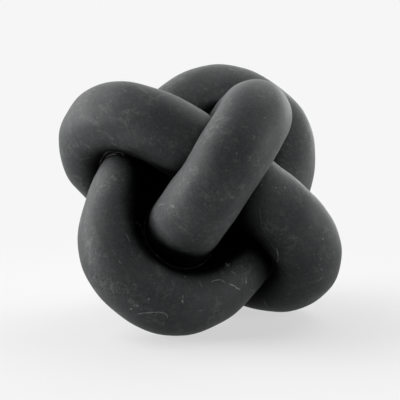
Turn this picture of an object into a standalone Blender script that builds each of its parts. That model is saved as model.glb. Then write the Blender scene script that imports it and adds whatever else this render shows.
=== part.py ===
"""Ceramic knot: three long, round-ended rings of thick round clay, linked like Borromean rings.

Each ring is two U-shaped halves, joined at butt seams with slip. The bends of each ring are
pressed over the runs of the next one, on a bed of slip. The knot stands on three ground flats.
Metres, +Z up. The floor is at Z = 0, and the origin is under the middle of the knot.
"""
import math

import bmesh
import bpy
import numpy as np
from mathutils import Euler, Matrix, Vector

# Clay section
TUBE_RADIUS = 0.017
CORE_RADIUS = 0.0055

# How far a ring's bend is pressed over its neighbour's run, at the tip of the bend and at its sides
TIP_PRESS = 0.0068
SIDE_PRESS = 0.0026
# Power of the ring's superellipse: 2 is an ellipse, and more is squarer
SQUARENESS = 2.6

# Slip between the pieces
SEAM_THICKNESS = 0.0008
SEAM_SINK = 0.0004
SEAM_BEAD = 0.001
BED_THICKNESS = 0.0008
BED_SINK = 0.0003
CLEARANCE = 0.0003

# Ground flats under the three lower bends, and the vent beside each
FOOT_DEPTH = 0.0006
VENT_RADIUS = 0.0015
VENT_FROM_FOOT = 0.014

# How each ring was set by hand: heading and rise of its long axis and roll about it, in degrees,
# and a small shift. Three true rings would be 120 apart, with a rise of 35.3 and a roll of 45.
RING_POSES = {
    "front_loop": {"heading": -65.4, "rise": 36.4, "roll": 48.1, "shift": (0.0, -0.0004, 0.0002)},
    "left_loop": {"heading": 177.9, "rise": 35.9, "roll": 44.4, "shift": (-0.0002, -0.0001, -0.0008)},
    "back_loop": {"heading": 55.3, "rise": 37.1, "roll": 48.3, "shift": (0.0002, 0.0005, 0.0006)},
}
# Each ring's bends go over the runs of the ring named beside it
HOLDS = {"front_loop": "left_loop", "left_loop": "back_loop", "back_loop": "front_loop"}

# Facets
TUBE_SIDES = 20
CORE_SIDES = 12
HALF_STEPS = 22
SEAM_STEPS = 20
OUTLINE_SAMPLES = 4000
SMOOTH_ANGLE = math.radians(40)
WELD_DISTANCE = 0.00001

# Ring proportions that follow: two tubes side by side, less the press
HALF_WIDTH = 2 * TUBE_RADIUS - SIDE_PRESS
HALF_LENGTH = HALF_WIDTH + 2 * TUBE_RADIUS - TIP_PRESS
SEAM_HALF_GAP = SEAM_THICKNESS / 2 + CLEARANCE
BED_INNER_RADIUS = TUBE_RADIUS + CLEARANCE
BED_OUTER_RADIUS = BED_INNER_RADIUS + BED_THICKNESS
SEAT_RADIUS = BED_OUTER_RADIUS + CLEARANCE

COLORS = {
    "stoneware": ((0.055, 0.059, 0.060, 1.0), 0.62),
    "seam_slip": ((0.070, 0.073, 0.073, 1.0), 0.85),
    "bedding_slip": ((0.120, 0.123, 0.120, 1.0), 0.9),
}


def clear_scene():
    for old in list(bpy.data.objects):
        bpy.data.objects.remove(old, do_unlink=True)


def new_collection(name):
    made = bpy.data.collections.new(name)
    bpy.context.scene.collection.children.link(made)
    return made


def new_material(name):
    color, roughness = COLORS[name]
    made = bpy.data.materials.new(name)
    made.use_nodes = True
    shader = made.node_tree.nodes["Principled BSDF"]
    shader.inputs["Base Color"].default_value = color
    shader.inputs["Roughness"].default_value = roughness
    shader.inputs["Metallic"].default_value = 0.0
    made.diffuse_color = color
    return made


def ring_outline():
    """One ring's centreline in its own plane, and the distance along it, from the middle of its
    +Y run round the +X bend and back."""
    angle = math.pi / 2 - np.linspace(0, 2 * math.pi, OUTLINE_SAMPLES + 1)
    cosine, sine = np.cos(angle), np.sin(angle)
    x = HALF_LENGTH * np.sign(cosine) * np.abs(cosine) ** (2 / SQUARENESS)
    y = HALF_WIDTH * np.sign(sine) * np.abs(sine) ** (2 / SQUARENESS)
    points = np.stack([x, y], axis=1)
    steps = np.linalg.norm(np.diff(points, axis=0), axis=1)
    return points, np.concatenate([[0.0], np.cumsum(steps)])


OUTLINE, ALONG = ring_outline()
RING_LENGTH = float(ALONG[-1])


def on_ring(distance):
    """The point of the centreline at a distance along it, in the ring's own plane."""
    distance = distance % RING_LENGTH
    x = float(np.interp(distance, ALONG, OUTLINE[:, 0]))
    y = float(np.interp(distance, ALONG, OUTLINE[:, 1]))
    return Vector((x, y, 0.0))


def whole_ring():
    count = 2 * HALF_STEPS
    return [on_ring(RING_LENGTH * step / count) for step in range(count)]


def half_ring(upper):
    """Centreline of the half round the +X bend, or round the -X bend, short of the seams."""
    start = 0.0 if upper else RING_LENGTH / 2
    first = start + SEAM_HALF_GAP
    length = RING_LENGTH / 2 - 2 * SEAM_HALF_GAP
    return [on_ring(first + length * step / HALF_STEPS) for step in range(HALF_STEPS + 1)]


def ring_matrix(pose):
    """From a ring's own plane to the knot: X along the ring, Y across it."""
    turn = Euler((math.radians(pose["roll"]), -math.radians(pose["rise"]), math.radians(pose["heading"])), "XYZ")
    return Matrix.Translation(pose["shift"]) @ turn.to_matrix().to_4x4()


def place(made, collection, parent):
    collection.objects.link(made)
    made.parent = parent
    return made


def new_empty(name, collection, parent, matrix):
    made = bpy.data.objects.new(name, None)
    made.empty_display_size = TUBE_RADIUS
    place(made, collection, parent)
    made.matrix_local = matrix
    return made


def tube_mesh(name, points, radius, sides, closed):
    """A round tube along points, as a closed mesh, made as a curve and converted."""
    curve = bpy.data.curves.new(name + "_path", "CURVE")
    curve.dimensions = "3D"
    curve.twist_mode = "Z_UP"
    curve.bevel_depth = radius
    curve.bevel_resolution = (sides - 4) // 2
    curve.use_fill_caps = not closed
    spline = curve.splines.new("POLY")
    spline.points.add(len(points) - 1)
    for target, point in zip(spline.points, points):
        target.co = (point.x, point.y, point.z, 1.0)
    spline.use_cyclic_u = closed

    path = bpy.data.objects.new(name + "_path", curve)
    bpy.context.scene.collection.objects.link(path)
    graph = bpy.context.evaluated_depsgraph_get()
    mesh = bpy.data.meshes.new_from_object(path.evaluated_get(graph))
    bpy.data.objects.remove(path, do_unlink=True)
    bpy.data.curves.remove(curve)

    welded = bmesh.new()
    welded.from_mesh(mesh)
    bmesh.ops.remove_doubles(welded, verts=welded.verts, dist=WELD_DISTANCE)
    bmesh.ops.recalc_face_normals(welded, faces=welded.faces)
    welded.to_mesh(mesh)
    welded.free()
    mesh.name = name
    return mesh


def smooth(mesh):
    mesh.shade_smooth()
    mesh.set_sharp_from_angle(angle=SMOOTH_ANGLE)


def as_cutter(made):
    made.hide_render = True
    made.display_type = "WIRE"
    return made


def boolean(made, cutter, operation):
    cut = made.modifiers.new(operation.lower() + "_" + cutter.name, "BOOLEAN")
    cut.operation = operation
    cut.solver = "EXACT"
    cut.object = cutter


def make_ring_cutters(ring, frame, collection):
    """Whole-ring tubes that shape the neighbours' seats and beds, and this ring's core."""
    radii = {"core": CORE_RADIUS, "bed_inner": BED_INNER_RADIUS, "bed_outer": BED_OUTER_RADIUS, "seat": SEAT_RADIUS}
    made = {}
    for use, radius in radii.items():
        sides = CORE_SIDES if use == "core" else TUBE_SIDES
        name = ring + "_" + use + "_cutter"
        mesh = tube_mesh(name, whole_ring(), radius, sides, closed=True)
        made[use] = as_cutter(place(bpy.data.objects.new(name, mesh), collection, frame))
    return made


def lowest_distance(matrix):
    """Where along its centreline a ring is lowest."""
    heights = [(matrix @ on_ring(distance)).z for distance in ALONG]
    return float(ALONG[int(np.argmin(heights))])


def make_ground_cutter(collection, root, ground):
    """A block whose top is the floor."""
    size = 4 * HALF_LENGTH
    mesh = bpy.data.meshes.new("ground_cutter")
    block = bmesh.new()
    bmesh.ops.create_cube(block, size=size)
    block.to_mesh(mesh)
    block.free()
    made = as_cutter(place(bpy.data.objects.new("ground_cutter", mesh), collection, root))
    made.location = (0.0, 0.0, ground - size / 2)
    return made


def make_vent_cutter(ring, collection, root, matrix):
    """An upright drill from under the floor into the core, beside the ring's foot."""
    inside = matrix @ on_ring(lowest_distance(matrix) + VENT_FROM_FOOT)
    length = 2 * TUBE_RADIUS
    name = ring + "_vent_cutter"
    mesh = bpy.data.meshes.new(name)
    drill = bmesh.new()
    bmesh.ops.create_cone(drill, cap_ends=True, segments=CORE_SIDES, radius1=VENT_RADIUS,
                          radius2=VENT_RADIUS, depth=length)
    drill.to_mesh(mesh)
    drill.free()
    made = as_cutter(place(bpy.data.objects.new(name, mesh), collection, root))
    made.location = (inside.x, inside.y, inside.z - length / 2)
    return made


def make_half(ring, upper, frame, collection, material, cutters):
    """One U-shaped half: a tube cut by its neighbour's run, with a core left open at both ends."""
    name = ring + ("_upper_half" if upper else "_lower_half")
    mesh = tube_mesh(name, half_ring(upper), TUBE_RADIUS, TUBE_SIDES, closed=False)
    mesh.materials.append(material)
    smooth(mesh)
    made = place(bpy.data.objects.new(name, mesh), collection, frame)
    for cutter in cutters:
        boolean(made, cutter, "DIFFERENCE")
    return made


def make_bed(ring, upper, frame, collection, material, neighbour):
    """The slip between a bend and the neighbour's run: a thin saddle round the run."""
    name = ring + ("_upper_bed" if upper else "_lower_bed")
    mesh = tube_mesh(name, half_ring(upper), TUBE_RADIUS - BED_SINK, TUBE_SIDES, closed=False)
    mesh.materials.append(material)
    smooth(mesh)
    made = place(bpy.data.objects.new(name, mesh), collection, frame)
    boolean(made, neighbour["bed_outer"], "INTERSECT")
    boolean(made, neighbour["bed_inner"], "DIFFERENCE")
    return made


def make_seam(ring, upper, frame, collection, material):
    """The slip of a butt joint: a turned washer in the middle of a run, with its bead in the core."""
    name = ring + ("_upper_seam" if upper else "_lower_seam")
    outer = TUBE_RADIUS - SEAM_SINK
    inner = CORE_RADIUS - SEAM_BEAD
    half = SEAM_THICKNESS / 2
    profile = [(outer, half), (outer, -half), (inner, -half), (inner, half)]
    mesh = bpy.data.meshes.new(name)
    turned = bmesh.new()
    corners = [turned.verts.new((x, 0.0, z)) for x, z in profile]
    for first, second in zip(corners, corners[1:] + corners[:1]):
        turned.edges.new((first, second))
    turned.to_mesh(mesh)
    turned.free()
    mesh.materials.append(material)
    made = place(bpy.data.objects.new(name, mesh), collection, frame)
    made.location = on_ring(0.0 if upper else RING_LENGTH / 2)
    made.rotation_euler = (0.0, math.pi / 2, 0.0)
    screw = made.modifiers.new("turn", "SCREW")
    screw.steps = SEAM_STEPS
    screw.render_steps = SEAM_STEPS
    screw.use_merge_vertices = True
    screw.merge_threshold = WELD_DISTANCE
    screw.use_smooth_shade = False
    return made


def knot_placement(matrices):
    """The shift that puts the floor at Z = 0 and the knot's middle over the origin, and the
    floor's height before it."""
    lines = [np.array([tuple(matrix @ on_ring(distance)) for distance in ALONG]) for matrix in matrices]
    ground = max(line[:, 2].min() for line in lines) - TUBE_RADIUS + FOOT_DEPTH
    together = np.concatenate(lines)
    middle = (together.max(axis=0) + together.min(axis=0)) / 2
    return Vector((-middle[0], -middle[1], -ground)), ground


def main():
    clear_scene()
    parts = new_collection("ceramic_knot")
    cutters = new_collection("cutters")
    materials = {name: new_material(name) for name in COLORS}

    matrices = {ring: ring_matrix(pose) for ring, pose in RING_POSES.items()}
    shift, ground = knot_placement(list(matrices.values()))
    root = new_empty("knot_frame", parts, None, Matrix.Translation(shift))
    frames = {ring: new_empty(ring + "_frame", parts, root, matrix) for ring, matrix in matrices.items()}

    ring_cutters = {ring: make_ring_cutters(ring, frame, cutters) for ring, frame in frames.items()}
    ground_cutter = make_ground_cutter(cutters, root, ground)

    for ring, frame in frames.items():
        neighbour = ring_cutters[HOLDS[ring]]
        vent = make_vent_cutter(ring, cutters, root, matrices[ring])
        for upper in (True, False):
            cuts = [neighbour["seat"], ring_cutters[ring]["core"]]
            if not upper:
                cuts += [ground_cutter, vent]
            make_half(ring, upper, frame, parts, materials["stoneware"], cuts)
            make_bed(ring, upper, frame, parts, materials["bedding_slip"], neighbour)
            make_seam(ring, upper, frame, parts, materials["seam_slip"])


main()
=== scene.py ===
"""Looks of the ceramic knot: three interlocked rings of matte black stoneware, on a pale floor.

Metres, +Z up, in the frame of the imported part. Each ring half is remade as a fine mesh that
stands where its solid does: a thick tube whose bends are pressed over the neighbour's runs.
The seams and the slip beds are the solids themselves.
"""
import math

import bmesh
import bpy
import numpy as np
from mathutils import Euler, Matrix, Vector
from mathutils.bvhtree import BVHTree
from mathutils.kdtree import KDTree


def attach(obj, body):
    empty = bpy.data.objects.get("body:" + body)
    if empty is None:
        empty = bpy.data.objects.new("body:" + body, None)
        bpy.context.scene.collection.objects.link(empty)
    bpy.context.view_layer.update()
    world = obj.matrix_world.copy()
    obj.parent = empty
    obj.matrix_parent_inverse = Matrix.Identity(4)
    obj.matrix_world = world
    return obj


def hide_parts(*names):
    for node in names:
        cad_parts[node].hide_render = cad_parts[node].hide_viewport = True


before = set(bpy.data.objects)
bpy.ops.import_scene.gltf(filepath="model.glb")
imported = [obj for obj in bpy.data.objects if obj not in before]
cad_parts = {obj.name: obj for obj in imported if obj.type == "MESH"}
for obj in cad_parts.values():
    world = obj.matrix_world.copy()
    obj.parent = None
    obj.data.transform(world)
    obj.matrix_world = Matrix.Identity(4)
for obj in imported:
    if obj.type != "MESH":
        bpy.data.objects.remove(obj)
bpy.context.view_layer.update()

# Ring sizes and poses, as the solids have them
TUBE_RADIUS = 0.017
TIP_PRESS = 0.0068
SIDE_PRESS = 0.0026
SQUARENESS = 2.6
HALF_WIDTH = 2 * TUBE_RADIUS - SIDE_PRESS
HALF_LENGTH = HALF_WIDTH + 2 * TUBE_RADIUS - TIP_PRESS
FOOT_DEPTH = 0.0006
VENT_RADIUS = 0.0015
VENT_FROM_FOOT = 0.014
RING_POSES = {
    "front_loop": {"heading": -65.4, "rise": 36.4, "roll": 48.1, "shift": (0.0, -0.0004, 0.0002)},
    "left_loop": {"heading": 177.9, "rise": 35.9, "roll": 44.4, "shift": (-0.0002, -0.0001, -0.0008)},
    "back_loop": {"heading": 55.3, "rise": 37.1, "roll": 48.3, "shift": (0.0002, 0.0005, 0.0006)},
}
HOLDS = {"front_loop": "left_loop", "left_loop": "back_loop", "back_loop": "front_loop"}

# Mesh fineness, and the angle in degrees from which an edge stays sharp
AROUND = 112
ALONG_HALF = 176
OUTLINE_SAMPLES = 6000
NEIGHBOUR_SAMPLES = 2400
VENT_SIDES = 32
SHARP_ANGLE = 50.0

# How a bend beds on its neighbour: the slit left between them, the width of the rounded lip and
# how many such widths off the neighbour the lip ends
SEAT_SLIT = 0.0001
SEAT_LIP = 0.0009
LIP_END = 6
# Where two rings meet, both are wiped in a little: how deep at the line, and how fast it fades
WIPE_DEPTH = 0.0004
WIPE_REACH = 0.0028
# Uneven hand-finished surface: height, size, how many waves are crossed, the range of their
# pitches as shares of the size, the usual peak of their sum, and the seed
LUMP_HEIGHT = 0.00022
LUMP_SIZE = 0.021
LUMP_WAVES = 9
LUMP_PITCHES = (0.6, 1.6)
LUMP_PEAK = 1.6
LUMP_SEED = 4
# Single places where a ring stands a little proud or is worn in: ring, centre, radius, height
SWELLS = [
    ("left_loop", (-0.0613, 0.0147, 0.0645), 0.013, 0.0012),
    ("left_loop", (-0.0381, -0.0081, 0.1154), 0.018, -0.0005),
    ("left_loop", (-0.0653, 0.0058, 0.0943), 0.012, -0.0004),
    ("left_loop", (0.0601, -0.0063, 0.0129), 0.015, 0.0005),
    ("left_loop", (0.0593, -0.0169, 0.0541), 0.015, 0.0005),
    ("back_loop", (0.0533, 0.0366, 0.0891), 0.018, 0.0011),
    ("back_loop", (-0.0538, -0.0211, 0.0602), 0.010, -0.0010),
    ("back_loop", (-0.0559, -0.0296, 0.0400), 0.010, 0.0003),
    ("back_loop", (0.0091, 0.0365, 0.1184), 0.016, -0.0004),
    ("back_loop", (-0.0364, -0.0412, 0.0111), 0.013, 0.0004),
    ("back_loop", (0.0250, -0.0330, 0.0090), 0.012, 0.0004),
    ("front_loop", (-0.0130, -0.0510, 0.0731), 0.012, -0.0004),
    ("front_loop", (-0.0022, -0.0446, 0.0861), 0.011, -0.0006),
    ("front_loop", (0.0046, -0.0320, 0.0990), 0.011, -0.0006),
    ("front_loop", (0.0128, -0.0174, 0.1109), 0.011, -0.0007),
    ("front_loop", (0.0238, -0.0209, 0.1173), 0.008, -0.0004),
    ("front_loop", (0.0352, -0.0426, 0.0862), 0.012, 0.0004),
    ("front_loop", (0.0424, -0.0259, 0.0983), 0.012, 0.0004),
]

# Colours and gloss
CLAY = (0.0349, 0.0375, 0.0384)
DUST = (0.43, 0.425, 0.415)
RAW_FOOT = (0.13, 0.128, 0.12)
BED_DARK = (0.006, 0.006, 0.0065)
BED_PALE = (0.07, 0.07, 0.068)
CLAY_SPECULAR = 0.25
SLIP_SPECULAR = 0.2

# Layers of noise in clay and slip: size of the features in metres, detail, roughness, and the
# values between which the layer goes from none to full
CLOUDS = (0.016, 3.0, 0.55, 0.38, 0.66)
RUBBED = (0.011, 2.0, 0.5, 0.46, 0.62)
MOTTLE = (0.0030, 4.0, 0.7, 0.46, 0.68)
FLECKS = (0.0012, 3.0, 0.7, 0.58, 0.69)
SPECK_SPREAD = (0.020, 1.0, 0.5, 0.38, 0.64)
MARK_BREAKS = (0.0011, 2.0, 0.5, 0.30, 0.58)
SLIP_PATCHES = (0.0042, 3.0, 0.6, 0.54, 0.66)
SLIP_CRUMBS = (0.0009, 2.0, 0.6, 0.35, 0.65)
# Plain noise without limits: size, detail, roughness
GRAIN = (0.0011, 3.0, 0.75)
SHAKE = (0.0022, 2.0, 0.5)
WAVER = (0.0030, 2.0, 0.5)
# How far fine marks are shaken out of line, and the noise's middle, from which that is counted
SHAKE_REACH = 0.0009
MID_COLOUR = (0.5, 0.5, 0.5)
# What each layer adds to the share of dust; a pair is what it adds anywhere, and how much more
# where the skin is rubbed
DUST_START = -0.105
CLOUD_DUST = 0.030
MOTTLE_DUST = (0.032, 0.080)
FLECK_DUST = (0.040, 0.120)
GRAIN_DUST = 0.17
# Tiny pale specks: cell they are spread by, largest radius as a share of it, share of the radius
# that is solid, strength
SPECK_CELL = 0.0052
SPECK_RADIUS = 0.060
SPECK_SOLID = 0.4
SPECK_DUST = 0.32
# Short scratches: cell they are spread by, half length, half width, strength; then the soft edge
# in half widths, where the end starts to fade in half lengths, and their share off rubbed skin
SCRATCHES = [(0.0036, 0.0013, 0.00013, 0.055), (0.0110, 0.0036, 0.00013, 0.05)]
SCRATCH_EDGE = (1.4, 0.5)
SCRATCH_END = 0.6
SCRATCH_LEAST = 0.25
# Roughness of the clay, and what clouds, dust and closed-in places add to it
CLAY_ROUGHNESS = 0.57
CLOUD_ROUGHNESS = 0.05
DUST_ROUGHNESS = 0.25
CLOSED_ROUGHNESS = 0.35
# Fine relief: cell of the pores, their radius as a share of it, shares of grain and pores,
# strength and height
PORE_CELL = 0.0019
PORE_RADIUS = 0.22
GRAIN_RELIEF = 0.5
PORE_RELIEF = 0.25
RELIEF_STRENGTH = 0.5
RELIEF_HEIGHT = 0.00016
# Dried slip: least share of its pale colour in a patch, roughness and what crumbs add, relief
CRUMB_LEAST = 0.4
SLIP_ROUGHNESS = 0.72
CRUMB_ROUGHNESS = 0.15
SLIP_RELIEF = 0.00015
# Heights above the floor at which the skin starts and ends to turn into the raw ground foot
FOOT_FADE = (0.00035, 0.00015)

# Painted shade where the knot is closed in: colour and gloss are darkened by how little of the
# surround each place sees, in place of the shade that falls there. How far and with how many rays
# the skin looks round, how far off it the rays start, and one in how many vertices along and round
# is looked from. Each vertex then mixes its NEAR_COUNT nearest lookouts, by one over distance +
# NEAR_LEAST
OPENNESS_REACH = 0.15
OPENNESS_RAYS = 60
OPENNESS_LIFT = 0.0003
OPENNESS_EVERY = 2
GOLDEN_ANGLE = math.pi * (3 - math.sqrt(5))
NEARLY_UPRIGHT = 0.9
NEAR_COUNT = 4
NEAR_LEAST = 0.0001
# What an open ray counts towards the floor, and how much less it counts towards the dim front, so
# that the painted shade is deeper on what faces down or to the front, where less light comes from
FLOOR_COUNT = 0.40
FRONT_LOSS = 0.54
# Open shares between which the skin goes from full painted shade to its own colour, and the same
# for the gap to the ring that it meets, which paints shade along the lines where rings meet
SHARE_DARK = 0.12
SHARE_CLEAR = 0.40
GAP_DARK = 0.0002
GAP_CLEAR = 0.0024
# Middle of the dark hollow in front, the distances from it between which its extra loss of open
# share, painted as deeper shade, fades out, and that loss
HOLLOW = (-0.0175, -0.0094, 0.0422)
DEEP = (0.0362, 0.0442)
HOLLOW_SHADE_LOSS = 0.18

# Pale marks: soft edge in half widths, soft end in half lengths, what is left of them where the
# noise breaks them, what is left where the painted shade of closed-in places dims them, and a
# speck's half length in radii
MILLIMETRE = 0.001
MARK_EDGE = (1.3, 0.5)
MARK_END = (1.1, 0.75)
MARK_BROKEN = 0.3
MARK_CLOSED = 0.4
SPECK_LENGTH = 1.2
# Pale hairlines and smears, each by three pixels of the photograph (start, middle, end),
# half its width in millimetres and its strength
HAIRLINES = [
    ((135, 314), (150, 312.6), (162, 313), 0.20, 0.55),
    ((162, 313), (166, 314.5), (168, 318), 0.20, 0.45),
    ((164, 319), (163.5, 323), (163, 328), 0.18, 0.20),
    ((212.5, 282.5), (218, 279.7), (227.5, 283), 0.20, 0.55),
    ((229, 283.5), (235, 286.5), (240, 289.8), 0.25, 0.75),
    ((231, 271.5), (233.5, 272.5), (236, 274.5), 0.35, 0.55),
    ((226, 263), (227.5, 265), (230, 267), 0.55, 0.55),
    ((230, 263), (228, 265), (225, 266), 0.35, 0.35),
    ((245.3, 277.5), (245.8, 280.5), (246, 283.5), 0.35, 0.55),
    ((241, 277), (242.3, 280), (243, 283), 0.20, 0.25),
    ((251, 290), (253, 290.6), (255.6, 290.4), 0.25, 0.30),
    ((200, 282.5), (201, 285), (202, 288), 0.22, 0.22),
    ((215, 311), (217.5, 310.3), (220, 309), 0.40, 0.16),
    ((197.5, 310.6), (200.5, 310.5), (203.7, 310), 0.40, 0.14),
    ((216, 295), (217, 300), (217, 306), 0.20, 0.12),
    ((220, 296), (220.5, 300), (220, 305), 0.20, 0.10),
    ((126, 233), (128, 238), (130, 243), 0.22, 0.32),
    ((113, 251), (114, 252.5), (115, 254), 0.22, 0.32),
    ((119, 260), (120.5, 262), (122, 264), 0.22, 0.30),
    ((100, 187), (104, 185.5), (110, 183), 0.30, 0.20),
    ((133, 307), (136, 306), (139, 306), 0.60, 0.18),
    ((136, 222), (139, 224), (142, 227), 0.25, 0.35),
    ((142, 229), (142.8, 232), (143, 236), 0.28, 0.40),
    ((144, 240), (145.2, 243.5), (147.5, 247), 0.20, 0.22),
    ((189, 268.5), (196, 266.5), (203, 260.5), 0.28, 0.42),
    ((260, 207.5), (261.9, 223.7), (267, 238), 0.16, 0.16),
    ((267, 238), (271.2, 243.7), (277, 252), 0.16, 0.22),
    ((276, 251), (278.2, 257), (277, 264.5), 0.24, 0.60),
    ((263.7, 300.6), (265.8, 304), (268, 307.5), 0.24, 0.38),
    ((320.4, 268.5), (321.7, 269.5), (322, 271.5), 0.24, 0.30),
    ((317.5, 281), (320.6, 279.3), (322.5, 276), 0.26, 0.30),
    ((157.5, 206), (161, 204.5), (165, 203.7), 0.30, 0.22),
    ((169.4, 205.2), (172, 206), (174.4, 207.5), 0.60, 0.18),
    ((215, 121), (217.5, 119.6), (220, 118.7), 0.30, 0.20),
    ((116, 119), (124, 124), (132, 136), 0.20, 0.06),
    ((80, 160), (85, 158.5), (90, 157), 0.30, 0.10),
    ((103.5, 160), (107.5, 156), (113, 153.6), 0.34, 0.80),
    ((113, 153.6), (118, 152.4), (124, 152.2), 0.26, 0.50),
    ((98, 105), (103, 108), (108, 113), 1.10, 0.06),
    ((80, 108), (82, 114), (86, 120), 1.00, 0.045),
    ((104, 133), (109, 136), (114, 141), 1.00, 0.06),
    ((118, 118), (124, 122), (128, 128), 0.90, 0.09),
    ((88, 118), (94, 122), (101, 125), 1.20, 0.06),
    ((138, 87), (143, 90), (148, 93), 0.80, 0.12),
    ((112, 176), (114, 178), (117, 181), 0.90, 0.10),
    ((128, 299), (133, 303), (139, 306), 1.30, 0.12),
    ((150, 318), (158, 322), (163, 324), 1.20, 0.07),
    ((210, 312), (216, 307), (222, 301), 1.30, 0.07),
    ((92, 226), (96, 236), (99, 248), 1.20, 0.07),
    ((183, 295), (183, 299), (183.5, 304), 0.30, 0.35),
]
# Pale specks: pixel of the photograph, radius in millimetres, strength
SPECKS = [
    ((182.5, 301), 0.42, 0.9), ((149, 299), 0.36, 0.55), ((131, 309), 0.42, 0.45),
    ((137, 305.5), 0.36, 0.45), ((185, 277), 0.40, 0.35), ((323, 239.4), 0.42, 0.45),
    ((313.7, 254.4), 0.34, 0.35), ((333.7, 252.5), 0.32, 0.30), ((298.7, 268), 0.30, 0.30),
    ((261.9, 184.7), 0.34, 0.40), ((276.2, 188), 0.40, 0.40), ((285, 187.5), 0.45, 0.30),
    ((265, 118), 0.32, 0.60), ((256.9, 114.4), 0.28, 0.40), ((236.9, 153.7), 0.32, 0.45),
    ((243, 151), 0.26, 0.30), ((226, 171), 0.28, 0.35), ((234.4, 72.3), 0.30, 0.35),
    ((303, 136), 0.26, 0.25), ((291.9, 146), 0.28, 0.30), ((97, 118), 0.34, 0.25),
    ((111, 101), 0.30, 0.25), ((146, 178), 0.26, 0.22),
]

# Camera: place, forward and up, sensor width and lens in millimetres, and the photograph's size
CAMERA_PLACE = (0.00141, -0.8472, 0.2110)
CAMERA_FORWARD = (-0.0011, 0.9839, -0.1789)
CAMERA_UP = (0.0058, 0.1789, 0.9839)
SENSOR = 36.0
LENS = 161.92
PICTURE = 400

# Floor: its own colour, the even tone that it and the surround show, how much of the real
# shadow shows near the knot, and the distances between which that fades out
FLOOR_HALF_SIZE = 6.0
FLOOR_COLOUR = 0.8
FLOOR_ROUGHNESS = 0.9
FLOOR_TONE = 0.92
SHADOW_KEPT = 0.36
SHADOW_NEAR = 0.05
SHADOW_FAR = 0.22
# Lamps: heading (0 is behind the camera, 90 to the right), height angle and power in watts; all
# are square, LAMP_SIZE across, LAMP_DISTANCE away from LAMP_AIM
LAMP_SIZE = 0.6
LAMP_DISTANCE = 1.2
LAMP_AIM = (0.0, 0.0, 0.06)
LAMPS = {
    "left_low": (-90, 5, 17.1),
    "left_high": (-90, 52, 4.1),
    "rear_left_low": (-120, 5, 1.6),
    "rear_left_middle": (-120, 27, 5.1),
    "rear_left_high": (-120, 52, 2.7),
    "rear_middle_left": (-150, 27, 1.2),
    "rear_middle": (180, 27, 1.7),
    "rear_middle_right": (150, 27, 1.3),
    "rear_middle_right_low": (150, 5, 5.2),
    "rear_middle_right_high": (150, 52, 1.8),
    "rear_right_low": (120, 5, 2.8),
    "rear_right_high": (120, 52, 3.2),
    "right_low": (90, 5, 6.3),
}


def ring_outline():
    """One ring's centreline in its own plane and the distance along it, from the middle of its
    +Y run round the +X bend and back."""
    angle = math.pi / 2 - np.linspace(0, 2 * math.pi, OUTLINE_SAMPLES + 1)
    cosine, sine = np.cos(angle), np.sin(angle)
    x = HALF_LENGTH * np.sign(cosine) * np.abs(cosine) ** (2 / SQUARENESS)
    y = HALF_WIDTH * np.sign(sine) * np.abs(sine) ** (2 / SQUARENESS)
    points = np.stack([x, y, np.zeros_like(x)], axis=1)
    steps = np.linalg.norm(np.diff(points, axis=0), axis=1)
    return points, np.concatenate([[0.0], np.cumsum(steps)])


OUTLINE, ALONG = ring_outline()
RING_LENGTH = float(ALONG[-1])


def on_ring(distances):
    """Points of the centreline at distances along it, in the ring's own plane."""
    wrapped = np.mod(distances, RING_LENGTH)
    return np.stack([np.interp(wrapped, ALONG, OUTLINE[:, axis]) for axis in range(3)], axis=1)


def ring_matrix(pose):
    """A ring's turn and shift from its own plane."""
    angles = (pose["roll"], -pose["rise"], pose["heading"])
    turn = Euler([math.radians(angle) for angle in angles], "XYZ")
    return np.array(turn.to_matrix()), np.array(pose["shift"])


def knot_shift():
    """Puts the floor at Z = 0 and the knot's middle over the origin, as the solids do."""
    lines = [OUTLINE @ turn.T + move for turn, move in map(ring_matrix, RING_POSES.values())]
    ground = max(line[:, 2].min() for line in lines) - TUBE_RADIUS + FOOT_DEPTH
    together = np.concatenate(lines)
    middle = (together.max(axis=0) + together.min(axis=0)) / 2
    return np.array([-middle[0], -middle[1], -ground])


SHIFT = knot_shift()


def in_knot(ring, points):
    """From a ring's own plane to the part's frame."""
    turn, move = ring_matrix(RING_POSES[ring])
    return points @ turn.T + move + SHIFT


def smooth_noise(points, size, seed):
    """Slow, even noise between about -1 and 1, from a few crossed waves."""
    random = np.random.default_rng(seed)
    total = np.zeros(len(points))
    for _ in range(LUMP_WAVES):
        direction = random.normal(size=3)
        direction /= np.linalg.norm(direction)
        pitch = size * random.uniform(*LUMP_PITCHES)
        total += np.sin(points @ direction * (2 * math.pi / pitch) + random.uniform(0, 2 * math.pi))
    return total / math.sqrt(LUMP_WAVES / 2) / LUMP_PEAK


def tree_of(points):
    """Points made ready for nearest-point questions."""
    tree = KDTree(len(points))
    for index, point in enumerate(points):
        tree.insert(point, index)
    tree.balance()
    return tree


LINE_STEPS = np.linspace(0, RING_LENGTH, NEIGHBOUR_SAMPLES, endpoint=False)
LINE_TREES = {name: tree_of(in_knot(name, on_ring(LINE_STEPS))) for name in RING_POSES}


def nearest_on(points, ring):
    """For each point the vector from the nearest point of a ring's centreline, and its length."""
    found = np.array([tuple(LINE_TREES[ring].find(point)[0]) for point in points])
    return points - found, np.linalg.norm(points - found, axis=1)


def pressed(points, neighbour):
    """Pushes points out of the neighbour's tube, with a small rounded lip where the press ends."""
    away, reach = nearest_on(points, neighbour)
    limit = TUBE_RADIUS + SEAT_SLIT
    over = reach - limit
    wanted = limit + 0.5 * (over + np.sqrt(over * over + SEAT_LIP * SEAT_LIP))
    push = np.where(over < LIP_END * SEAT_LIP, wanted - reach, 0.0)
    return points + away * (push / reach)[:, None]


def neighbour_gap(points, ring):
    """How far points lie off the nearer of the ring's two neighbours, 0 inside it."""
    reaches = [nearest_on(points, name)[1] for name in RING_POSES if name != ring]
    return np.maximum(np.minimum(*reaches) - TUBE_RADIUS - SEAT_SLIT, 0.0)


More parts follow.
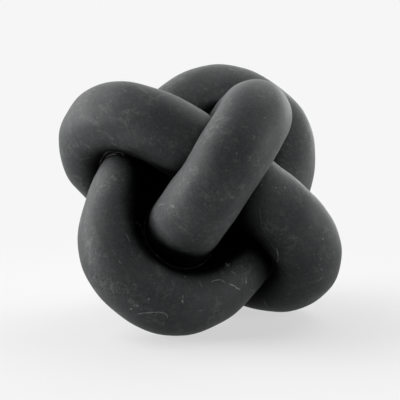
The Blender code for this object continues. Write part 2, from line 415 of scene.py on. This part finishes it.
def tube_points(ring, upper):
    """Rows of points round one half of a ring, from seam to seam, with the centreline."""
    start = 0.0 if upper else RING_LENGTH / 2
    distances = start + np.linspace(0, RING_LENGTH / 2, ALONG_HALF + 1)
    step = RING_LENGTH / OUTLINE_SAMPLES
    centres = on_ring(distances)
    ahead = on_ring(distances + step) - on_ring(distances - step)
    ahead /= np.linalg.norm(ahead, axis=1)[:, None]
    side = np.cross(ahead, (0.0, 0.0, 1.0))
    angles = np.linspace(0, 2 * math.pi, AROUND, endpoint=False)
    rows = (centres[:, None, :]
            + TUBE_RADIUS * np.cos(angles)[None, :, None] * side[:, None, :]
            + TUBE_RADIUS * np.sin(angles)[None, :, None] * np.array((0.0, 0.0, 1.0)))
    return in_knot(ring, rows.reshape(-1, 3)), in_knot(ring, centres)


def shaped_points(ring, upper):
    """The half's skin: lumpy, pressed over the neighbour that it holds, wiped in along every
    line where it meets another ring, and flat where it stands."""
    points, centres = tube_points(ring, upper)
    outward = points - np.repeat(centres, AROUND, axis=0)
    outward /= np.linalg.norm(outward, axis=1)[:, None]
    points = points + outward * (LUMP_HEIGHT * smooth_noise(points, LUMP_SIZE, LUMP_SEED))[:, None]
    for where, centre, radius, height in SWELLS:
        if where == ring:
            far = np.linalg.norm(points - np.array(centre), axis=1) / radius
            points = points + outward * (height * np.exp(-far * far))[:, None]
    points = pressed(points, HOLDS[ring])
    wipe = WIPE_DEPTH * np.exp(-neighbour_gap(points, ring) / WIPE_REACH)
    points = points - outward * wipe[:, None]
    points[:, 2] = np.maximum(points[:, 2], 0.0)
    return points


def make_half(ring, upper):
    """One half of a ring as a closed mesh that stands for its solid."""
    name = ring + ("_upper" if upper else "_lower") + "_form"
    points = shaped_points(ring, upper)
    made = bmesh.new()
    verts = [made.verts.new(point) for point in points]
    for row in range(ALONG_HALF):
        for column in range(AROUND):
            following = (column + 1) % AROUND
            corners = (row * AROUND + column, row * AROUND + following,
                       (row + 1) * AROUND + following, (row + 1) * AROUND + column)
            made.faces.new([verts[corner] for corner in corners])
    for row in (0, ALONG_HALF):
        made.faces.new([verts[row * AROUND + column] for column in range(AROUND)])
    bmesh.ops.recalc_face_normals(made, faces=made.faces)
    mesh = bpy.data.meshes.new(name)
    made.to_mesh(mesh)
    made.free()
    mesh.shade_smooth()
    mesh.set_sharp_from_angle(angle=math.radians(SHARP_ANGLE))
    piece = bpy.data.objects.new(name, mesh)
    bpy.context.scene.collection.objects.link(piece)
    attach(piece, "root")
    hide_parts(ring + ("_upper_half" if upper else "_lower_half"))
    return piece


def drill_vent(piece, ring):
    """The small upright vent beside the ring's foot, as the solid has it."""
    heights = in_knot(ring, OUTLINE)[:, 2]
    lowest = float(ALONG[int(np.argmin(heights))])
    inside = in_knot(ring, on_ring(np.array([lowest + VENT_FROM_FOOT])))[0]
    length = 2 * TUBE_RADIUS
    mesh = bpy.data.meshes.new("drill")
    drill = bmesh.new()
    bmesh.ops.create_cone(drill, cap_ends=True, segments=VENT_SIDES, radius1=VENT_RADIUS,
                          radius2=VENT_RADIUS, depth=length)
    bmesh.ops.translate(drill, verts=drill.verts, vec=inside - np.array((0.0, 0.0, length / 2)))
    drill.to_mesh(mesh)
    drill.free()
    tool = bpy.data.objects.new("drill", mesh)
    bpy.context.scene.collection.objects.link(tool)
    cut = piece.modifiers.new("vent", "BOOLEAN")
    cut.operation = "DIFFERENCE"
    cut.solver = "EXACT"
    cut.object = tool
    bpy.context.view_layer.update()
    finished = piece.evaluated_get(bpy.context.evaluated_depsgraph_get())
    drilled = bpy.data.meshes.new_from_object(finished)
    piece.modifiers.clear()
    piece.data = drilled
    bpy.data.objects.remove(tool)
    bpy.data.meshes.remove(mesh)


def vertex_arrays(mesh):
    """The mesh's vertices and the skin's direction at each."""
    places = np.empty(len(mesh.vertices) * 3)
    mesh.vertices.foreach_get("co", places)
    normals = np.empty(len(mesh.vertices) * 3)
    mesh.vertex_normals.foreach_get("vector", normals)
    return places.reshape(-1, 3), normals.reshape(-1, 3)


def whole_skin(pieces):
    """All the pieces' faces together, ready for rays."""
    places, faces = [], []
    for piece in pieces:
        first = len(places)
        places += [vert.co.copy() for vert in piece.data.vertices]
        faces += [[first + corner for corner in face.vertices] for face in piece.data.polygons]
    return BVHTree.FromPolygons(places, faces)


def open_share(places, normals, skin):
    """How much of the surround over each place the knot itself leaves open, from 0 to 1, a stand-in
    for the light that reaches it, from which shade is painted. What is open towards the floor and
    the front counts less, as less light comes from there."""
    steps = (np.arange(OPENNESS_RAYS) + 0.5) / OPENNESS_RAYS
    turns = GOLDEN_ANGLE * np.arange(OPENNESS_RAYS)
    flat = np.sqrt(steps)
    local = np.stack([flat * np.cos(turns), flat * np.sin(turns), np.sqrt(1 - steps)], axis=1)
    upright = np.abs(normals[:, 2:]) >= NEARLY_UPRIGHT
    helper = np.where(upright, [[1.0, 0.0, 0.0]], [[0.0, 0.0, 1.0]])
    across = np.cross(helper, normals)
    across /= np.linalg.norm(across, axis=1)[:, None]
    frames = np.stack([across, np.cross(normals, across), normals], axis=1)
    rays = np.einsum("ij,njk->nik", local, frames)
    counts = np.where(rays[:, :, 2] > 0, 1.0, FLOOR_COUNT)
    counts = counts * (1 - FRONT_LOSS * np.maximum(-rays[:, :, 1], 0.0))
    starts = places + normals * OPENNESS_LIFT
    shares = np.empty(len(places))
    for index, start in enumerate(starts):
        origin = Vector(start)
        free = [skin.ray_cast(origin, Vector(ray), OPENNESS_REACH)[0] is None for ray in rays[index]]
        shares[index] = np.dot(free, counts[index]) / OPENNESS_RAYS
    return shares


def softened(grid):
    """Each value of a grid mixed with its neighbours'; rows end, columns run round."""
    tall = np.concatenate([grid[:1], grid, grid[-1:]])
    grid = (tall[:-2] + 2 * grid + tall[2:]) / 4
    return (np.roll(grid, 1, axis=1) + 2 * grid + np.roll(grid, -1, axis=1)) / 4


def eased(values, start, end):
    """0 up to start, 1 from end on and smooth between."""
    part = np.clip((values - start) / (end - start), 0.0, 1.0)
    return part * part * (3.0 - 2.0 * part)


def note_painted_shade(pieces, skin):
    """Keeps on each vertex the share of light that its painted shade leaves: 0, full painted shade,
    in the lines where rings meet and in closed-in places, 1 in the open.
    """
    names = [(ring, upper) for ring in RING_POSES for upper in (True, False)]
    for piece, (ring, upper) in zip(pieces, names):
        places, normals = vertex_arrays(piece.data)
        grid = np.arange((ALONG_HALF + 1) * AROUND).reshape(ALONG_HALF + 1, AROUND)
        some = grid[::OPENNESS_EVERY, ::OPENNESS_EVERY]
        shares = open_share(places[some.ravel()], normals[some.ravel()], skin)
        shares = softened(shares.reshape(some.shape)).ravel()
        tree = tree_of(places[some.ravel()])
        if not upper:
            drill_vent(piece, ring)
            places, normals = vertex_arrays(piece.data)
        painted_light_share = np.empty(len(places))
        for index, place in enumerate(places):
            near = tree.find_n(place, NEAR_COUNT)
            weights = np.array([1 / (found[2] + NEAR_LEAST) for found in near])
            painted_light_share[index] = np.dot(weights, shares[[found[1] for found in near]]) / weights.sum()
        # Painted shade: deeper in the hollow in front, full dark in closed-in places and along the
        # lines where rings meet
        inside = 1.0 - eased(np.linalg.norm(places - np.array(HOLLOW), axis=1), *DEEP)
        painted_light_share = eased(painted_light_share - HOLLOW_SHADE_LOSS * inside, SHARE_DARK, SHARE_CLEAR)
        painted_light_share = painted_light_share * eased(neighbour_gap(places, ring), GAP_DARK, GAP_CLEAR)
        noted = piece.data.attributes.new("painted_light_share", "FLOAT", "POINT")
        noted.data.foreach_set("value", painted_light_share)


def camera_axes():
    """The camera's directions to the right, up and forward."""
    forward = Vector(CAMERA_FORWARD).normalized()
    right = forward.cross(Vector(CAMERA_UP)).normalized()
    return right, right.cross(forward), forward


def on_surface(skin, pixel):
    """Where the photograph's pixel falls on the knot, with the skin's direction there."""
    right, up, forward = camera_axes()
    step = SENSOR / PICTURE
    ray = (forward * LENS + right * ((pixel[0] - PICTURE / 2) * step)
           - up * ((pixel[1] - PICTURE / 2) * step)).normalized()
    place, normal, _, _ = skin.ray_cast(Vector(CAMERA_PLACE), ray)
    return np.array(place), np.array(normal)


def add_node(tree, kind, settings=None, **inputs):
    """A node with its settings and its inputs, given as numbers, colours or other sockets."""
    made = tree.nodes.new(kind)
    for key, value in (settings or {}).items():
        setattr(made, key, value)
    for key, value in inputs.items():
        socket = made.inputs[int(key[1:])] if key[1:].isdigit() else made.inputs[key.replace("_", " ")]
        if isinstance(value, bpy.types.NodeSocket):
            tree.links.new(value, socket)
        else:
            socket.default_value = value
    return made


def calc(tree, operation, first, second=0.0, third=0.0):
    """One step of arithmetic."""
    made = add_node(tree, "ShaderNodeMath", {"operation": operation}, i0=first, i1=second, i2=third)
    return made.outputs[0]


def vector_calc(tree, operation, first, second=(0.0, 0.0, 0.0)):
    """One step of arithmetic on vectors."""
    made = add_node(tree, "ShaderNodeVectorMath", {"operation": operation}, i0=first, i1=second)
    return made.outputs["Value" if operation in ("DOT_PRODUCT", "LENGTH") else "Vector"]


def scaled(tree, vector, factor):
    """A vector times a number."""
    made = add_node(tree, "ShaderNodeVectorMath", {"operation": "SCALE"}, i0=vector, Scale=factor)
    return made.outputs["Vector"]


def mix_colours(tree, share, first, second):
    """From the first colour to the second as share goes from 0 to 1, and on past both ends."""
    made = add_node(tree, "ShaderNodeMix", {"data_type": "RGBA", "clamp_factor": False}, Factor=share,
                    i6=first, i7=second)
    return made.outputs[2]


def noise(tree, place, size, detail, roughness, output="Fac"):
    """Noise whose features are about size metres across."""
    made = add_node(tree, "ShaderNodeTexNoise", Vector=place, Scale=1.0 / size, Detail=detail,
                    Roughness=roughness)
    return made.outputs[output]


def fade(tree, value, start, end, low=0.0, high=1.0):
    """Runs smoothly from low to high as value goes from start to end."""
    made = add_node(tree, "ShaderNodeMapRange", {"interpolation_type": "SMOOTHSTEP"}, Value=value,
                    From_Min=start, From_Max=end, To_Min=low, To_Max=high)
    return made.outputs["Result"]


def layer(tree, place, settings, low=0.0, high=1.0):
    """A layer of noise: size, detail, roughness and the values that low and high stand for."""
    size, detail, roughness, start, end = settings
    return fade(tree, noise(tree, place, size, detail, roughness), start, end, low, high)


def new_material(name, specular):
    """An empty material with its tree, its shader and the place on the knot."""
    material = bpy.data.materials.new(name)
    material.use_nodes = True
    tree = material.node_tree
    shader = tree.nodes["Principled BSDF"]
    shader.inputs["Specular IOR Level"].default_value = specular
    return material, tree, shader, add_node(tree, "ShaderNodeTexCoord").outputs["Object"]


def relief(tree, shader, height, depth):
    """Fine bumps on a shader."""
    bump = add_node(tree, "ShaderNodeBump", Strength=RELIEF_STRENGTH, Distance=depth, Height=height)
    tree.links.new(bump.outputs["Normal"], shader.inputs["Normal"])


def hairline_group():
    """One pale hairline: a shallow arc of given half length and bend, laid on the skin."""
    group = bpy.data.node_groups.new("hairline", "ShaderNodeTree")
    for name in ("Place", "Middle", "Along", "Across"):
        group.interface.new_socket(name, in_out="INPUT", socket_type="NodeSocketVector")
    for name in ("Half Length", "Bend", "Half Width", "Strength"):
        group.interface.new_socket(name, in_out="INPUT", socket_type="NodeSocketFloat")
    group.interface.new_socket("Mark", in_out="OUTPUT", socket_type="NodeSocketFloat")
    given = group.nodes.new("NodeGroupInput").outputs
    result = group.nodes.new("NodeGroupOutput").inputs
    offset = vector_calc(group, "SUBTRACT", given["Place"], given["Middle"])
    along = vector_calc(group, "DOT_PRODUCT", offset, given["Along"])
    across = vector_calc(group, "DOT_PRODUCT", offset, given["Across"])
    curve = calc(group, "MULTIPLY", calc(group, "MULTIPLY", along, along), given["Bend"])
    off_line = calc(group, "ABSOLUTE", calc(group, "SUBTRACT", across, curve))
    far = calc(group, "DIVIDE", vector_calc(group, "LENGTH", offset), given["Half Length"])
    line = fade(group, calc(group, "DIVIDE", off_line, given["Half Width"]), *MARK_EDGE)
    mark = calc(group, "MULTIPLY", line, fade(group, far, *MARK_END))
    group.links.new(calc(group, "MULTIPLY", mark, given["Strength"]), result["Mark"])
    return group


def hairline_facts(skin, start, middle, end):
    """Where a hairline lies on the skin: middle, direction, width's direction, half length, bend."""
    first, _ = on_surface(skin, start)
    centre, normal = on_surface(skin, middle)
    last, _ = on_surface(skin, end)
    along = last - first
    half_length = np.linalg.norm(along) / 2
    along /= 2 * half_length
    across = np.cross(normal, along)
    across /= np.linalg.norm(across)
    bend = np.dot((first + last) / 2 - centre, across) / half_length ** 2
    return centre, along, across, half_length, bend


def marks(tree, place, skin):
    """All the hairlines and specks together, from 0 to 1."""
    group = hairline_group()
    total = None
    facts = [hairline_facts(skin, *mark[:3]) + (mark[3], mark[4]) for mark in HAIRLINES]
    for pixel, radius, strength in SPECKS:
        centre, normal = on_surface(skin, pixel)
        along = np.cross(normal, (0.0, 0.0, 1.0))
        along /= np.linalg.norm(along)
        half_length = radius * SPECK_LENGTH * MILLIMETRE
        facts.append((centre, along, np.cross(normal, along), half_length, 0.0, radius, strength))
    for centre, along, across, half_length, bend, half_width, strength in facts:
        made = add_node(tree, "ShaderNodeGroup", {"node_tree": group}, Place=place, Middle=centre,
                        Along=along, Across=across, Half_Length=half_length, Bend=bend,
                        Half_Width=half_width * MILLIMETRE, Strength=strength)
        mark = made.outputs["Mark"]
        total = mark if total is None else calc(tree, "MAXIMUM", total, mark)
    return total


def scratches(tree, place, cell, reach, half_width):
    """Short scratches in every direction: a thin disc in each cell, cut by the skin."""
    cells = add_node(tree, "ShaderNodeTexVoronoi", Vector=place, Scale=1.0 / cell).outputs
    offset = vector_calc(tree, "SUBTRACT", place, cells["Position"])
    lean = vector_calc(tree, "NORMALIZE", vector_calc(tree, "SUBTRACT", cells["Color"], MID_COLOUR))
    off_disc = calc(tree, "ABSOLUTE", vector_calc(tree, "DOT_PRODUCT", offset, lean))
    line = fade(tree, off_disc, *(half_width * edge for edge in SCRATCH_EDGE))
    end = fade(tree, vector_calc(tree, "LENGTH", offset), reach, reach * SCRATCH_END)
    return calc(tree, "MULTIPLY", line, end)


def skin_dust(tree, place, shaken, clouds, grain):
    """The share of pale dust over the skin, which may go below 0 where it is worn dark."""
    rubbed = layer(tree, place, RUBBED)
    mottle = layer(tree, place, MOTTLE)
    flecks = layer(tree, shaken, FLECKS)
    dust = calc(tree, "MULTIPLY_ADD", clouds, CLOUD_DUST, DUST_START)
    for spots, (anywhere, more) in ((mottle, MOTTLE_DUST), (flecks, FLECK_DUST)):
        strength = calc(tree, "MULTIPLY_ADD", rubbed, more, anywhere)
        dust = calc(tree, "ADD", dust, calc(tree, "MULTIPLY", spots, strength))
    dust = calc(tree, "MULTIPLY_ADD", grain, GRAIN_DUST, dust)

    cells = add_node(tree, "ShaderNodeTexVoronoi", Vector=place, Scale=1.0 / SPECK_CELL)
    size = layer(tree, place, SPECK_SPREAD, 0.0, SPECK_RADIUS)
    solid = calc(tree, "MULTIPLY", size, SPECK_SOLID)
    dust = calc(tree, "ADD", dust, fade(tree, cells.outputs["Distance"], size, solid, 0.0, SPECK_DUST))
    for cell, reach, half_width, strength in SCRATCHES:
        lines = scratches(tree, shaken, cell, reach, half_width)
        share = calc(tree, "MULTIPLY_ADD", rubbed, strength, strength * SCRATCH_LEAST)
        dust = calc(tree, "ADD", dust, calc(tree, "MULTIPLY", lines, share))
    return dust


def ceramic_material(name, skin=None):
    """Matte black stoneware with a dry, dusty skin: soft clouds, rubbed and mottled patches, tiny
    pale specks and scratches. With the knot's skin given, also the hairlines and specks that are
    placed one by one, and painted shade where the rings close in on each other: colour and gloss
    go dark there, and the marks dim."""
    material, tree, shader, place = new_material(name, CLAY_SPECULAR)
    shake = vector_calc(tree, "SUBTRACT", noise(tree, place, *SHAKE, output="Color"), MID_COLOUR)
    shaken = vector_calc(tree, "ADD", place, scaled(tree, shake, SHAKE_REACH))
    clouds = layer(tree, place, CLOUDS)
    grain = noise(tree, place, *GRAIN)
    dust = skin_dust(tree, place, shaken, clouds, grain)

    tone = mix_colours(tree, dust, CLAY + (1.0,), DUST + (1.0,))
    height = add_node(tree, "ShaderNodeSeparateXYZ", Vector=place).outputs["Z"]
    tone = mix_colours(tree, fade(tree, height, *FOOT_FADE), tone, RAW_FOOT + (1.0,))
    closed = 0.0
    if skin:
        painted_light_share = add_node(tree, "ShaderNodeAttribute", {"attribute_name": "painted_light_share"}).outputs["Fac"]
        # Painted shade: the colour is darkened by the share of light noted on each vertex
        tone = scaled(tree, tone, painted_light_share)
        closed = calc(tree, "SUBTRACT", 1.0, painted_light_share)
        # Painted shade on the gloss as well, through its tint
        tree.links.new(painted_light_share, shader.inputs["Specular Tint"])
        broken = layer(tree, place, MARK_BREAKS, MARK_BROKEN)
        mark = calc(tree, "MULTIPLY", marks(tree, shaken, skin), broken)
        # The pale marks keep MARK_CLOSED of their strength in the painted shade
        left = calc(tree, "MULTIPLY_ADD", painted_light_share, 1 - MARK_CLOSED, MARK_CLOSED)
        tone = mix_colours(tree, calc(tree, "MULTIPLY", mark, left), tone, DUST + (1.0,))
    tree.links.new(tone, shader.inputs["Base Color"])

    rough = calc(tree, "MULTIPLY_ADD", clouds, CLOUD_ROUGHNESS, CLAY_ROUGHNESS)
    rough = calc(tree, "MULTIPLY_ADD", dust, DUST_ROUGHNESS, rough)
    rough = calc(tree, "MULTIPLY_ADD", closed, CLOSED_ROUGHNESS, rough)
    tree.links.new(rough, shader.inputs["Roughness"])

    cells = add_node(tree, "ShaderNodeTexVoronoi", Vector=place, Scale=1.0 / PORE_CELL)
    pores = calc(tree, "MULTIPLY", fade(tree, cells.outputs["Distance"], 0.0, PORE_RADIUS), PORE_RELIEF)
    bumps = calc(tree, "ADD", calc(tree, "MULTIPLY", grain, GRAIN_RELIEF), pores)
    relief(tree, shader, calc(tree, "ADD", bumps, noise(tree, place, *WAVER)), RELIEF_HEIGHT)
    return material


def slip_material(name, dark, pale):
    """Dried slip in a seam: chalky and broken, paler in patches."""
    material, tree, shader, place = new_material(name, SLIP_SPECULAR)
    patches = layer(tree, place, SLIP_PATCHES)
    crumbs = layer(tree, place, SLIP_CRUMBS)
    pick = calc(tree, "MULTIPLY_ADD", crumbs, 1 - CRUMB_LEAST, CRUMB_LEAST)
    tone = mix_colours(tree, calc(tree, "MULTIPLY", patches, pick), dark + (1.0,), pale + (1.0,))
    tree.links.new(tone, shader.inputs["Base Color"])
    rough = calc(tree, "MULTIPLY_ADD", crumbs, CRUMB_ROUGHNESS, SLIP_ROUGHNESS)
    tree.links.new(rough, shader.inputs["Roughness"])
    relief(tree, shader, crumbs, SLIP_RELIEF)
    return material


def seen_rays(tree):
    """1 for what the camera sees straight or in a reflection or through glass."""
    path = add_node(tree, "ShaderNodeLightPath").outputs
    seen = calc(tree, "MAXIMUM", path["Is Camera Ray"], path["Is Glossy Ray"])
    return calc(tree, "MAXIMUM", seen, path["Is Transmission Ray"])


def make_floor():
    """A pale floor with an even tone that keeps the knot's shadow around its feet."""
    mesh = bpy.data.meshes.new("floor")
    plane = bmesh.new()
    bmesh.ops.create_grid(plane, x_segments=1, y_segments=1, size=FLOOR_HALF_SIZE)
    plane.to_mesh(mesh)
    plane.free()
    floor = bpy.data.objects.new("floor", mesh)
    bpy.context.scene.collection.objects.link(floor)
    material, tree, shader, place = new_material("pale_floor", 0.0)
    shader.inputs["Base Color"].default_value = (FLOOR_COLOUR, FLOOR_COLOUR, FLOOR_COLOUR, 1.0)
    shader.inputs["Roughness"].default_value = FLOOR_ROUGHNESS
    kept = fade(tree, vector_calc(tree, "LENGTH", place), SHADOW_NEAR, SHADOW_FAR, SHADOW_KEPT, 0.0)
    even = calc(tree, "MULTIPLY", seen_rays(tree), calc(tree, "SUBTRACT", 1.0, kept))
    plain = add_node(tree, "ShaderNodeEmission", Color=(FLOOR_TONE, FLOOR_TONE, FLOOR_TONE, 1.0),
                     Strength=1.0)
    mixed = add_node(tree, "ShaderNodeMixShader", i0=even, i1=shader.outputs[0], i2=plain.outputs[0])
    tree.links.new(mixed.outputs[0], tree.nodes["Material Output"].inputs["Surface"])
    mesh.materials.append(material)


def make_lamps():
    """Square soft lamps on a ball round the knot, all aimed at it."""
    for name, (heading, height, power) in LAMPS.items():
        across, up = math.radians(heading), math.radians(height)
        level = math.cos(up)
        offset = Vector((math.sin(across) * level, -math.cos(across) * level, math.sin(up)))
        data = bpy.data.lights.new(name, "AREA")
        data.size = LAMP_SIZE
        data.energy = power
        lamp = bpy.data.objects.new(name, data)
        lamp.location = Vector(LAMP_AIM) + offset * LAMP_DISTANCE
        lamp.rotation_euler = (-offset).to_track_quat("-Z", "Y").to_euler()
        bpy.context.scene.collection.objects.link(lamp)


def make_world():
    """An even pale surround, seen and reflected, that lights no matte surface."""
    world = bpy.data.worlds.new("studio")
    world.use_nodes = True
    tree = world.node_tree
    background = tree.nodes["Background"]
    background.inputs["Color"].default_value = (1.0, 1.0, 1.0, 1.0)
    tree.links.new(calc(tree, "MULTIPLY", seen_rays(tree), FLOOR_TONE), background.inputs["Strength"])
    bpy.context.scene.world = world


def make_camera():
    """The camera, where the photograph was taken from."""
    data = bpy.data.cameras.new("camera")
    data.sensor_width = SENSOR
    data.lens = LENS
    camera = bpy.data.objects.new("camera", data)
    right, up, forward = camera_axes()
    turn = Matrix((right, up, -forward)).transposed()
    camera.matrix_world = Matrix.Translation(CAMERA_PLACE) @ turn.to_4x4()
    bpy.context.scene.collection.objects.link(camera)
    bpy.context.scene.camera = camera


halves = [make_half(ring_name, is_upper) for ring_name in RING_POSES for is_upper in (True, False)]
knot_skin = whole_skin(halves)
note_painted_shade(halves, knot_skin)
stoneware = ceramic_material("matte_black_stoneware", knot_skin)
for half in halves:
    half.data.materials.append(stoneware)
seam_slip = ceramic_material("fettled_seam_slip")
bedding_slip = slip_material("dried_bedding_slip", BED_DARK, BED_PALE)
finishes = {"bed": bedding_slip, "seam": seam_slip, "half": stoneware}
for cad_name, cad_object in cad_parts.items():
    cad_object.data.materials.clear()
    cad_object.data.materials.append(finishes[cad_name.rsplit("_", 1)[1]])
make_floor()
make_lamps()
make_world()
make_camera()
bpy.context.scene.view_settings.view_transform = "Standard"
